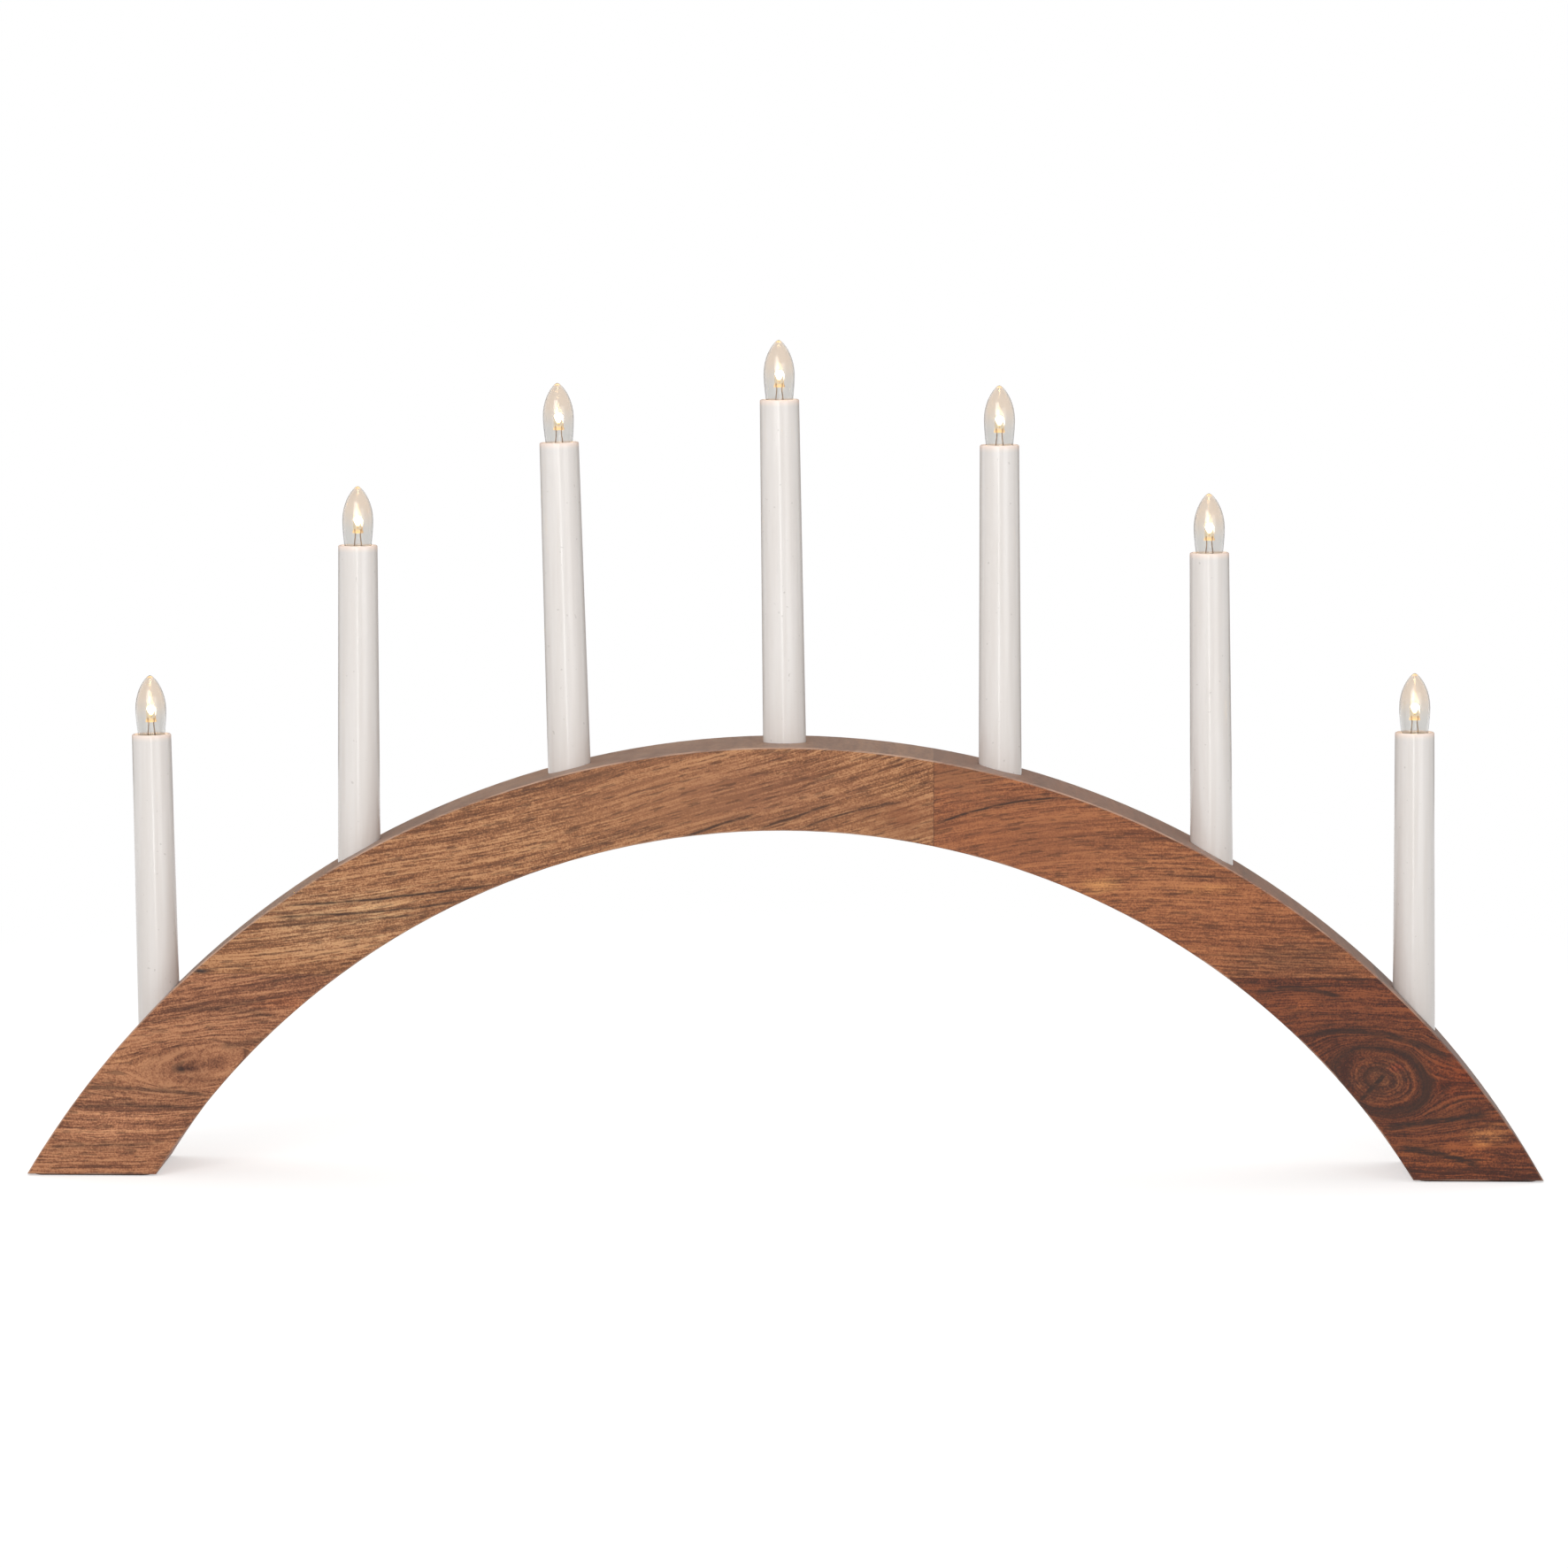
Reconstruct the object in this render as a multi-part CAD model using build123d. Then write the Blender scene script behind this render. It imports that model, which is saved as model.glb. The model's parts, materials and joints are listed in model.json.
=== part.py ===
from build123d import *

import os
from math import atan2, cos, pi, radians, sin, sqrt, tan

# Window arch of glued-up boards with seven electric candles.
# Millimetres. +X runs along the arch, +Z is up and the front faces -Y.
# The origin lies on the standing surface, midway between the feet.

# Arch
arch_width = 790.0  # across the feet
arch_rise = 225.0  # crown above the soles
arch_depth = 65.0
crown_height = 43.3  # wood above the opening, at the crown
foot_width = 67.5  # each sole, along the arch
edge_ease = 0.7  # bevel along the front and back edges
leg_height = 106.0  # level glue line, above the soles
crown_joint_x = 78.0  # upright glue line between the crown boards

# Felt pads under the feet
pad_thickness = 1.0
pad_inset = 3.0
pad_corner = 5.0

# Places of the candles, left to right
candle_leans = (-0.93, 0.18, -1.58, -0.85, -0.34, -0.84, -0.47)  # degrees towards +X at the top
seat_depths = (49.9, 32.1, 22.0, 13.7, 23.1, 35.1, 47.2)  # along each axis, below the wood's surface
outer_candle_set = 1.7  # axis of an outer candle, outwards from its sole's inner edge
fan_step = 7.84  # degrees; equal steps of a flat arc, so the candles close up towards the ends

# Candle sleeve
sleeve_length = 192.0
sleeve_flare = 1.1  # radius gained from rim to foot
sleeve_wall = 2.0  # at the foot
rim_wall = 1.3
step_width = 0.6  # ledge that the lamp holder stands on
rim_round = 0.8
seat_gap = 0.2  # radial, between sleeve and wood

# Bulb, with heights above the sleeve's rim
bulb_height = 30.7
bulb_d = 16.0
belly_height = 13.0  # widest place
neck_d = 14.2  # at the rim
nose_share = 0.23  # of the belly's radius, how blunt the tip is
shoulder_share = 0.59  # of the height above the belly, how far the sides stay full
waist_share = 0.44  # of the height below the belly, how far the sides stay full
neck_share = 0.1  # of the height below the belly, how far the neck stays straight
glass_wall = 0.7
led_d = 5.0
led_flange_lip = 0.4
led_flange_height = 1.0
led_length = 8.6
led_stand = 6.4  # underside of the LED
lead_d = 0.56
lead_pitch = 2.54  # at the LED
lead_spread = 4.0  # at the cap
lead_bend = 2.2

# Bulb cap and its thread
cap_drop = 6.0  # cap's top below the rim
cap_length = 7.6
cap_core_d = 8.4
cap_collar = 0.75  # collar under the glass, beyond the core
plate = 0.6  # cap's collar and floor
insulator_d = 5.2
insulator_flange_d = 7.6
insulator_nose_d = 4.6
insulator_height = 1.6
tip_d = 3.8
tip_height = 1.0
thread_pitch = 1.814
thread_ridge = 0.5  # radius of the round ridge
thread_gap = 0.3  # between a ridge and the facing core or bore
thread_backing = 0.2  # metal behind a ridge
shell_thread_turns = 2.4

# Lamp holder
holder_wall = 1.1  # around its mouth
holder_drop = 0.8  # holder's top below the rim
holder_floor = 8.0
fit_gap = 0.1  # between pieces pushed together
neck_gap = 0.6  # between the bulb's neck and the holder's mouth
shell_drop = 0.6  # shell's top below the cap's collar
touch_gap = 0.05  # between a bulb's tip and what it presses on
strip_thickness = 0.4
strip_width = 2.8
strip_gap = 0.6  # between the strip and the shell or its tab

# Wiring
wire_d = 2.0
wire_pitch = 3.0  # side by side in the channel
wire_gap = 0.6  # play around a wire
bend_r = 4.0
seat_bend_r = 8.0  # where a wire leaves the sleeve, at most
least_bend = 2.0  # degrees; a smaller turn is left straight

# Channel in the underside, and its cover
cover_width = 26.0
cover_thickness = 2.2
cover_lap = 12.0  # cover past the last wire holes
screw_d = 2.5
screw_head_d = 5.0
screw_length = 11.0
screw_slot = 0.6

# Cord gland in the back
gland_offset = 45.0  # along the channel from the left candle's wire hole
gland_bore_d = 5.2
gland_d = 10.0
gland_flange_d = 14.0
gland_flange = 1.2
gland_length = 12.0

# Values worked out from the sizes above
sole_z = pad_thickness
half_width = arch_width / 2
half_depth = arch_depth / 2
inner_half = half_width - foot_width
inner_rise = arch_rise - crown_height


def rise_radius(half_span, rise):
    return (half_span**2 + rise**2) / (2 * rise)


outer_r = rise_radius(half_width, arch_rise)
outer_z = sole_z + arch_rise - outer_r
inner_r = rise_radius(inner_half, inner_rise)
inner_z = sole_z + inner_rise - inner_r

mouth_r = neck_d / 2 + neck_gap
holder_r = mouth_r + holder_wall
socket_r = holder_r + fit_gap
rim_r = socket_r + rim_wall
foot_r = rim_r + sleeve_flare
seat_r = foot_r + seat_gap
wire_r = wire_d / 2
wire_hole_r = wire_pitch + wire_r + wire_gap
core_r = cap_core_d / 2
collar_r = core_r + cap_collar
cap_bore_r = core_r - thread_ridge - thread_backing
shell_bore_r = core_r + thread_ridge + thread_gap
shell_r = shell_bore_r + thread_ridge + thread_backing

# Heights inside a candle, from the rim
cap_top = -cap_drop
cap_floor = cap_top - cap_length
nose_z = cap_floor - insulator_height
tip_z = nose_z - touch_gap - tip_height
strip_z = tip_z - touch_gap
floor_z = strip_z - strip_thickness
holder_z = floor_z - holder_floor
shell_top = cap_top - plate - shell_drop
thread_low = cap_floor + plate
cap_thread_turns = (cap_length - 2 * plate - 2 * thread_ridge) / thread_pitch
tab_start = tip_d / 2 + strip_gap

# Radii of the channel's floor and of the wires in it
wire_layer_r = inner_r + cover_thickness + fit_gap + wire_gap + wire_r
channel_r = wire_layer_r + wire_r + wire_gap
channel_width = 2 * (wire_hole_r + wire_gap)


def on_arc(radius, angle, y=0.0):
    # Point about the centre of the opening's arc; the angle runs from +Z towards +X.
    return Vector(radius * sin(angle), y, inner_z + radius * cos(angle))


def turned(*outline):
    # Solid of revolution about Z from (radius, height) corners.
    return revolve(Plane.XZ * make_face(Polyline(*outline, close=True)), Axis.Z)


def drill(start, direction, length, radius):
    plane = Plane(origin=start, z_dir=direction)
    return plane * Cylinder(radius, length, align=(Align.CENTER, Align.CENTER, Align.MIN))


def band(low_r, high_r, low_angle, high_angle, width):
    # Curved bar that follows the opening's arc.
    middle_angle = (low_angle + high_angle) / 2
    low = [on_arc(low_r, angle) for angle in (low_angle, middle_angle, high_angle)]
    high = [on_arc(high_r, angle) for angle in (high_angle, middle_angle, low_angle)]
    edges = [ThreePointArc(*low), Line(low[2], high[0]), ThreePointArc(*high), Line(high[2], low[0])]
    return extrude(make_face(edges), amount=width / 2, dir=(0, 1, 0), both=True)


def ridge(radius, low_z, turns, start_angle):
    # Round thread ridge on a right-handed helix.
    helix = Helix(thread_pitch, turns * thread_pitch, radius)
    path = Pos(0, 0, low_z) * Rot(0, 0, start_angle) * helix
    section = Plane(origin=path @ 0, z_dir=path % 0) * Circle(thread_ridge)
    return sweep(section, path=path, is_frenet=True)


# Where each candle stands


class Candle:
    def __init__(self, index):
        middle = (len(candle_leans) - 1) / 2
        reach = inner_half + outer_candle_set
        x = reach * sin(radians((index - middle) * fan_step)) / sin(radians(middle * fan_step))
        lean = radians(candle_leans[index])
        self.axis = Vector(sin(lean), 0, cos(lean))
        surface = Vector(x, 0, outer_z + sqrt(outer_r**2 - x**2))
        self.seat = surface - self.axis * seat_depths[index]
        self.rim = self.seat + self.axis * sleeve_length
        self.frame = Location(self.rim, (0, candle_leans[index], 0))
        # The wire hole runs from the channel, square to it, to the middle of the seat.
        self.angle = atan2(self.seat.X, self.seat.Z - inner_z)

    def inside(self, y, z):
        return self.rim + self.axis * z + Vector(0, y, 0)


candles = [Candle(index) for index in range(len(candle_leans))]
gland_angle = candles[0].angle + gland_offset / inner_r
gland_r = wire_layer_r + 2 * bend_r + wire_pitch
cover_start = candles[0].angle - cover_lap / inner_r
cover_end = candles[-1].angle + cover_lap / inner_r
channel_start = candles[0].angle - channel_width / 2 / inner_r
channel_end = candles[-1].angle + channel_width / 2 / inner_r
screw_angles = [(a.angle + b.angle) / 2 for a, b in zip(candles, candles[1:])]
screw_y = (channel_width + cover_width) / 4


# Wood


def arch_blank():
    outline = [
        ThreePointArc((-half_width, 0, sole_z), (0, 0, sole_z + arch_rise), (half_width, 0, sole_z)),
        Line((half_width, 0, sole_z), (inner_half, 0, sole_z)),
        ThreePointArc((inner_half, 0, sole_z), (0, 0, sole_z + inner_rise), (-inner_half, 0, sole_z)),
        Line((-inner_half, 0, sole_z), (-half_width, 0, sole_z)),
    ]
    blank = extrude(make_face(outline), amount=half_depth, dir=(0, 1, 0), both=True)
    faces = blank.faces().filter_by(Axis.Y)
    return chamfer(faces.edges(), edge_ease)


def wood_cuts():
    cuts = []
    for candle in candles:
        # The seat is open to the sky, and the wire hole breaks into its floor.
        cuts.append(drill(candle.seat, candle.axis, sleeve_length, seat_r))
        start = on_arc(inner_r, candle.angle)
        depth = (candle.seat - start).length + wire_hole_r
        cuts.append(drill(start, candle.seat - start, depth, wire_hole_r))
    open_r = inner_r - cover_width  # inside the opening, so that these cuts break through
    cuts.append(band(open_r, channel_r, channel_start, channel_end, channel_width))
    rebate_r = inner_r + cover_thickness + fit_gap
    slack = fit_gap / inner_r
    rebate_width = cover_width + 2 * fit_gap
    cuts.append(band(open_r, rebate_r, cover_start - slack, cover_end + slack, rebate_width))
    for place in screw_places():
        cuts.append(drill(place.origin, place.z_dir, screw_length + fit_gap, screw_d / 2))
    # The cord comes in from the back, then turns down into the channel.
    start = on_arc(inner_r, gland_angle)
    end = on_arc(gland_r, gland_angle)
    cuts.append(drill(start, end - start, gland_r - inner_r, wire_hole_r))
    inside = on_arc(gland_r, gland_angle, -channel_width / 2)
    cuts.append(drill(inside, (0, 1, 0), half_depth + channel_width / 2, gland_d / 2 + fit_gap))
    flange = on_arc(gland_r, gland_angle, half_depth - gland_flange)
    cuts.append(drill(flange, (0, 1, 0), gland_flange, gland_flange_d / 2 + fit_gap))
    return cuts


def board(blank, cuts, low_x, high_x, low_z, high_z):
    size = (high_x - low_x, 2 * arch_depth, high_z - low_z)
    window = Pos((low_x + high_x) / 2, 0, (low_z + high_z) / 2) * Box(*size)
    return (blank & window) - cuts


def boards():
    blank = arch_blank()
    cuts = wood_cuts()
    glue_z = sole_z + leg_height
    far = arch_width  # clear of the arch on every side
    return {
        "leg_left": board(blank, cuts, -far, 0, -far, glue_z),
        "leg_right": board(blank, cuts, 0, far, -far, glue_z),
        "crown_left": board(blank, cuts, -far, crown_joint_x, glue_z, far),
        "crown_right": board(blank, cuts, crown_joint_x, far, glue_z, far),
    }


def foot_pads():
    size = (foot_width - 2 * pad_inset, arch_depth - 2 * pad_inset)
    pad = extrude(RectangleRounded(*size, pad_corner), amount=pad_thickness)
    middle_x = half_width - foot_width / 2
    return [Pos(x, 0, 0) * pad for x in (-middle_x, middle_x)]


# Channel cover and its screws


def screw():
    # Countersunk wood screw, head down at z = 0, point up.
    head_r = screw_head_d / 2
    shank_r = screw_d / 2
    head_height = head_r - shank_r
    body = turned(
        (0, 0),
        (head_r, 0),
        (shank_r, head_height),
        (shank_r, screw_length - screw_d),
        (0, screw_length),
    )
    slot = Pos(0, 0, screw_slot / 2) * Box(screw_head_d, screw_slot, screw_slot)
    return body - slot


def screw_places():
    # Each head lies flush in the middle of the cover's width beside the channel.
    for angle in screw_angles:
        outward = on_arc(1, angle) - on_arc(0, angle)
        for side in (-screw_y, screw_y):
            yield Plane(origin=on_arc(inner_r + fit_gap, angle, side), z_dir=outward)


def channel_cover():
    strip = band(inner_r, inner_r + cover_thickness, cover_start, cover_end, cover_width)
    head_r = screw_head_d / 2 + fit_gap
    shank_r = screw_d / 2 + fit_gap
    sink = turned(
        (0, -cover_thickness),
        (head_r, -cover_thickness),
        (head_r, 0),
        (shank_r, head_r - shank_r),
        (shank_r, 2 * cover_thickness),
        (0, 2 * cover_thickness),
    )
    return strip - [place * sink for place in screw_places()]


def cord_gland():
    body_r = gland_d / 2
    flange_r = gland_flange_d / 2
    bore_r = gland_bore_d / 2
    bush = turned(
        (bore_r, 0),
        (flange_r, 0),
        (flange_r, gland_flange),
        (body_r, gland_flange),
        (body_r, gland_length),
        (bore_r, gland_length),
    )
    return Plane(origin=on_arc(gland_r, gland_angle, half_depth), z_dir=(0, -1, 0)) * bush


# Candle sleeve and lamp holder, with the rim at z = 0


def candle_sleeve():
    # The holder stands on a step in the sleeve's bore.
    step_r = socket_r - step_width
    body = turned(
        (socket_r, 0),
        (rim_r, 0),
        (foot_r, -sleeve_length),
        (foot_r - sleeve_wall, -sleeve_length),
        (step_r, holder_z),
        (socket_r, holder_z),
    )
    rims = body.edges().filter_by(GeomType.CIRCLE).group_by(Axis.Z)[-1]
    return fillet(rims.sort_by(SortBy.RADIUS)[-1], rim_round)


def lamp_holder():
    well_r = shell_r + fit_gap
    body = turned(
        (0, floor_z),
        (well_r, floor_z),
        (well_r, shell_top),
        (mouth_r, shell_top),
        (mouth_r, -holder_drop),
        (holder_r, -holder_drop),
        (holder_r, holder_z),
        (0, holder_z),
    )
    for y in (-wire_pitch, wire_pitch):
        body -= drill((0, y, holder_z), (0, 0, 1), holder_floor, wire_r + fit_gap)
    return body


def screw_shell():
    tube = turned(
        (shell_bore_r, floor_z),
        (shell_r, floor_z),
        (shell_r, shell_top),
        (shell_bore_r, shell_top),
    )
    low = shell_top - 2 * thread_ridge - shell_thread_turns * thread_pitch
    # Half a pitch from the cap's ridge, so that the two run between each other.
    turn = (low - thread_low) / thread_pitch - 0.5
    # The tab under the bulb is where one wire is soldered.
    tab = floor_plate(-shell_bore_r - thread_backing, -tab_start)
    return tube + ridge(shell_bore_r, low, shell_thread_turns, 360 * turn) + tab


def floor_plate(low_y, high_y):
    # Flat strip on the holder's floor.
    middle = Pos(0, (low_y + high_y) / 2, floor_z + strip_thickness / 2)
    return middle * Box(strip_width, high_y - low_y, strip_thickness)


def contact_strip():
    reach = sqrt((shell_bore_r - strip_gap) ** 2 - (strip_width / 2) ** 2)
    return floor_plate(-tip_d / 2, reach)


# Bulb, with the sleeve's rim at z = 0


def bulb_cap():
    hole_r = insulator_d / 2 + fit_gap
    body = turned(
        (cap_bore_r, cap_top),
        (collar_r, cap_top),
        (collar_r, cap_top - plate),
        (core_r, cap_top - plate),
        (core_r, cap_floor),
        (hole_r, cap_floor),
        (hole_r, thread_low),
        (cap_bore_r, thread_low),
    )
    return body + ridge(core_r, thread_low, cap_thread_turns, 0)


def cap_insulator():
    return turned(
        (0, thread_low),
        (insulator_d / 2, thread_low),
        (insulator_d / 2, cap_floor),
        (insulator_flange_d / 2, cap_floor),
        (insulator_nose_d / 2, nose_z),
        (0, nose_z),
    )


def bulb_tip():
    button = Pos(0, 0, tip_z + tip_height / 2) * Cylinder(tip_d / 2, tip_height)
    return fillet(button.edges().group_by(Axis.Z)[0], tip_height / 2)


def flame(inset):
    # Turned flame shape, drawn in by inset on every side, open at the cap.
    belly_r = bulb_d / 2 - inset
    neck_r = neck_d / 2 - inset
    foot_r = collar_r - inset
    top = bulb_height - inset
    shoulder = belly_height + shoulder_share * (top - belly_height)
    waist = belly_height * (1 - waist_share)
    outline = [
        Bezier((0, top), (nose_share * belly_r, top), (belly_r, shoulder), (belly_r, belly_height)),
        Bezier((belly_r, belly_height), (belly_r, waist), (neck_r, neck_share * belly_height), (neck_r, 0)),
        Bezier((neck_r, 0), (neck_r, cap_top / 2), (foot_r, cap_top / 2), (foot_r, cap_top)),
        Line((foot_r, cap_top), (0, cap_top)),
        Line((0, cap_top), (0, top)),
    ]
    return revolve(Plane.XZ * make_face(outline), Axis.Z)


def bulb_envelope():
    return flame(0) - flame(glass_wall)


def led():
    # Lens with its flange, on two legs that splay towards the cap.
    lens_r = led_d / 2
    flange_r = lens_r + led_flange_lip
    flange_top = led_stand + led_flange_height
    dome_z = led_stand + led_length - lens_r
    body = turned(
        (0, led_stand),
        (flange_r, led_stand),
        (flange_r, flange_top),
        (lens_r, flange_top),
        (lens_r, dome_z),
        (0, dome_z),
    )
    lens = body + Pos(0, 0, dome_z) * Sphere(lens_r)
    near = lead_pitch / 2
    wide = lead_spread / 2
    legs = []
    for side in (-1, 1):
        path = FilletPolyline(
            (side * near, 0, led_stand),
            (side * near, 0, led_stand - lead_bend),
            (side * wide, 0, 0),
            (side * wide, 0, thread_low),
            radius=lead_bend,
        )
        legs.append(sweep(Plane(origin=path @ 0, z_dir=path % 0) * Circle(lead_d / 2), path=path))
    return [lens, *legs]


# Wires


def channel_run(angles, y):
    # Corners of a run that follows the channel between the given angles, with each corner's radius.
    points = []
    radii = []
    for start, end in zip(angles, angles[1:]):
        half = abs(end - start) / 2
        points.append(on_arc(wire_layer_r / cos(half), (start + end) / 2, y))
        # The bends at both ends of the run keep their share of it.
        radii.append(wire_layer_r - (bend_r + wire_gap) / tan(half))
    return points, radii


def rise_to(candle, y, channel_y):
    # From the channel up to a lamp holder: corners and radii, channel first.
    start = on_arc(wire_layer_r, candle.angle, channel_y)
    corner = candle.seat + Vector(0, y, 0)
    end = candle.inside(y, floor_z)
    hole = candle.seat - on_arc(wire_layer_r, candle.angle)
    turn = hole.get_angle(candle.axis)
    if turn < least_bend:
        return [start, end], [bend_r]
    room = hole.length - bend_r - wire_gap
    return [start, corner, end], [bend_r, min(seat_bend_r, room / tan(radians(turn / 2)))]


def wire_tube(points, radii):
    path = FilletPolyline(*points, radius=radii)
    section = Plane(origin=path @ 0, z_dir=path % 0) * Circle(wire_r)
    tube = sweep(section, path=path)
    print("wire", round(path.length, 1), "mm, volume over section times length", end=" ")
    print(round(tube.volume / (pi * wire_r**2 * path.length), 4))
    return tube


def to_gland(y, offset):
    # From the channel out to the gland, ending where the cord's sheath would begin.
    depth_r = gland_r + offset
    end_y = half_depth - gland_length - wire_gap
    points = [
        on_arc(wire_layer_r, gland_angle, y),
        on_arc(depth_r, gland_angle, y),
        on_arc(depth_r, gland_angle, end_y),
    ]
    return points, [bend_r, bend_r]


def wiring():
    # Lamps in series: neighbours share a wire, at the back and the front by turns.
    tubes = []
    for index, (left, right) in enumerate(zip(candles, candles[1:])):
        y = wire_pitch if index % 2 == 0 else -wire_pitch
        tubes.append(joined_wire(rise_to(left, y, y), [left.angle, right.angle], y, rise_to(right, y, y)))
    feed = rise_to(candles[0], -wire_pitch, -wire_pitch)
    feed_end = to_gland(-wire_pitch, wire_pitch / 2)
    tubes.append(joined_wire(feed, [candles[0].angle, gland_angle], -wire_pitch, feed_end))
    last_y = wire_pitch if len(candles) % 2 == 1 else -wire_pitch
    back = rise_to(candles[-1], last_y, 0)
    stations = [candle.angle for candle in reversed(candles[1:])] + [gland_angle]
    tubes.append(joined_wire(back, stations, 0, to_gland(0, -wire_pitch / 2)))
    return tubes


def joined_wire(first, angles, y, last):
    # One wire from the end of the first rise, along the channel, to the end of the last.
    run, run_radii = channel_run(angles, y)
    points = first[0][::-1] + run + last[0]
    radii = first[1][::-1] + run_radii + last[1]
    return wire_tube(points, radii)


# Every piece by its name

pieces = boards()
pieces["foot_pads"] = foot_pads()
pieces["channel_cover"] = channel_cover()
pieces["cover_screws"] = [place * screw() for place in screw_places()]
pieces["cord_gland"] = cord_gland()
pieces["wiring"] = wiring()
pieces["screw_shells"] = [candle.frame * screw_shell() for candle in candles]
pieces["contact_strips"] = [candle.frame * contact_strip() for candle in candles]

repeated = {
    "candle_sleeve": candle_sleeve(),
    "lamp_holder": lamp_holder(),
    "bulb_cap": bulb_cap(),
    "cap_insulator": cap_insulator(),
    "bulb_tip": bulb_tip(),
    "bulb_envelope": bulb_envelope(),
    "led": Compound(children=led()),
}
for name, shape in repeated.items():
    for number, candle in enumerate(candles, start=1):
        pieces[f"{name}_{number}"] = candle.frame * shape

os.makedirs("parts", exist_ok=True)
for name, shape in pieces.items():
    solid = Compound(children=shape) if isinstance(shape, list) else shape
    export_step(solid, f"parts/{name}.step")

for number, candle in enumerate(candles, start=1):
    rim = tuple(round(value, 3) for value in candle.rim)
    axis = tuple(round(value, 6) for value in candle.axis)
    print("candle", number, "rim", rim, "axis", axis)
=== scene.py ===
import json
from math import cos, pi, radians, sin

import bmesh
import bpy
from mathutils import Matrix, Vector


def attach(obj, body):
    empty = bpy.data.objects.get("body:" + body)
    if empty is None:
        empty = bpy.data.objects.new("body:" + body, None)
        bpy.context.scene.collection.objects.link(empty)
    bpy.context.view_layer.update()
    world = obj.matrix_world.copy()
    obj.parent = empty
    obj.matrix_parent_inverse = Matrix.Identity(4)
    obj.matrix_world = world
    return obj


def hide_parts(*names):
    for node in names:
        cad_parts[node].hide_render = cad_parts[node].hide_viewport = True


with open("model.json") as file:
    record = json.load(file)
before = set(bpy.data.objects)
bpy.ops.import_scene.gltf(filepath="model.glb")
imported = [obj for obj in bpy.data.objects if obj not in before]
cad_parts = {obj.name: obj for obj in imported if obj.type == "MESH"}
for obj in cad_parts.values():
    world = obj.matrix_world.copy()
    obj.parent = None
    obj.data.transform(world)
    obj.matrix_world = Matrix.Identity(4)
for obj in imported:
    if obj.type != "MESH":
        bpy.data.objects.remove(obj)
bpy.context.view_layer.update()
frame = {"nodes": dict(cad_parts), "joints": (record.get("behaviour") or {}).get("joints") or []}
nodes = frame["nodes"]
joints = {joint["name"]: joint for joint in frame["joints"]}
mm = 0.001
weld = 1e-3 * mm  # places closer than this count as one
candleNumbers = range(1, 8)
origin = (0.0, 0.0, 0.0)
upward = (0.0, 0.0, 1.0)
noDepth = (1.0, 0.0, 1.0)  # a factor that keeps x and z of a place
black = (0.0, 0.0, 0.0, 1.0)
white = (1.0, 1.0, 1.0, 1.0)
noiseSpan = (0.3, 0.7)  # most of a noise lies within it
print("frame loaded:", len(nodes), "solid pieces")


# Small helpers for shader nodes

def putIn(tree, socket, value):
    if isinstance(value, bpy.types.NodeSocket):
        tree.links.new(value, socket)
    else:
        socket.default_value = value


def feed(tree, node, sockets):
    for name, value in sockets.items():
        putIn(tree, node.inputs[name], value)


def addNode(tree, kind, sockets=None, **settings):
    node = tree.nodes.new("ShaderNode" + kind)
    for name, value in settings.items():
        setattr(node, name, value)
    feed(tree, node, sockets or {})
    return node


def calc(tree, operation, *values):
    return addNode(tree, "Math", dict(enumerate(values)), operation=operation).outputs[0]


def vectorCalc(tree, operation, *values):
    node = addNode(tree, "VectorMath", dict(enumerate(values)), operation=operation)
    return node.outputs["Value"] if operation in ("DOT_PRODUCT", "LENGTH") else node.outputs["Vector"]


def split(tree, vector):
    return addNode(tree, "SeparateXYZ", {0: vector}).outputs


def remap(tree, value, fromLow, fromHigh, toLow=0.0, toHigh=1.0):
    sockets = {"Value": value, "From Min": fromLow, "From Max": fromHigh, "To Min": toLow, "To Max": toHigh}
    return addNode(tree, "MapRange", sockets, interpolation_type="SMOOTHSTEP").outputs["Result"]


def noise(tree, place, stretch, detail, roughness=0.5):
    # stretch is in cycles per metre along x, y and z
    scaled = vectorCalc(tree, "MULTIPLY", place, stretch)
    sockets = {"Vector": scaled, "Scale": 1.0, "Detail": detail, "Roughness": roughness}
    return addNode(tree, "TexNoise", sockets).outputs[0]


def sway(tree, place, amount, noiseShape):
    # strays by the amount to both sides
    return calc(tree, "MULTIPLY_ADD", noise(tree, place, *noiseShape), 2 * amount, -amount)


def blend(tree, factor, first, second, how="MIX"):
    node = addNode(tree, "Mix", {0: factor, 6: first, 7: second}, data_type="RGBA", blend_type=how)
    return node.outputs[2]


def ramp(tree, factor, stops):
    node = addNode(tree, "ValToRGB", {0: factor})
    elements = node.color_ramp.elements
    while len(elements) < len(stops):
        elements.new(0.5)
    for element, (place, tone) in zip(elements, stops):
        element.position = place
        element.color = tone
    return node.outputs["Color"]


def rgb(red, green, blue):
    # screen values from 0 to 255 to the linear colour that nodes take
    def linear(value):
        share = value / 255
        return share / 12.92 if share <= 0.04045 else ((share + 0.055) / 1.055) ** 2.4
    return (linear(red), linear(green), linear(blue), 1.0)


def newGroup(name, inputs, outputs):
    group = bpy.data.node_groups.new(name, "ShaderNodeTree")
    for socketName, kind, value in inputs:
        socket = group.interface.new_socket(socketName, in_out="INPUT", socket_type="NodeSocket" + kind)
        socket.default_value = value
    for socketName in outputs:
        group.interface.new_socket(socketName, in_out="OUTPUT", socket_type="NodeSocketFloat")
    given = group.nodes.new("NodeGroupInput").outputs
    result = group.nodes.new("NodeGroupOutput").inputs
    return group, given, result


def useGroup(tree, group, sockets):
    node = addNode(tree, "Group", node_tree=group)
    feed(tree, node, sockets)
    return node.outputs


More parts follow.
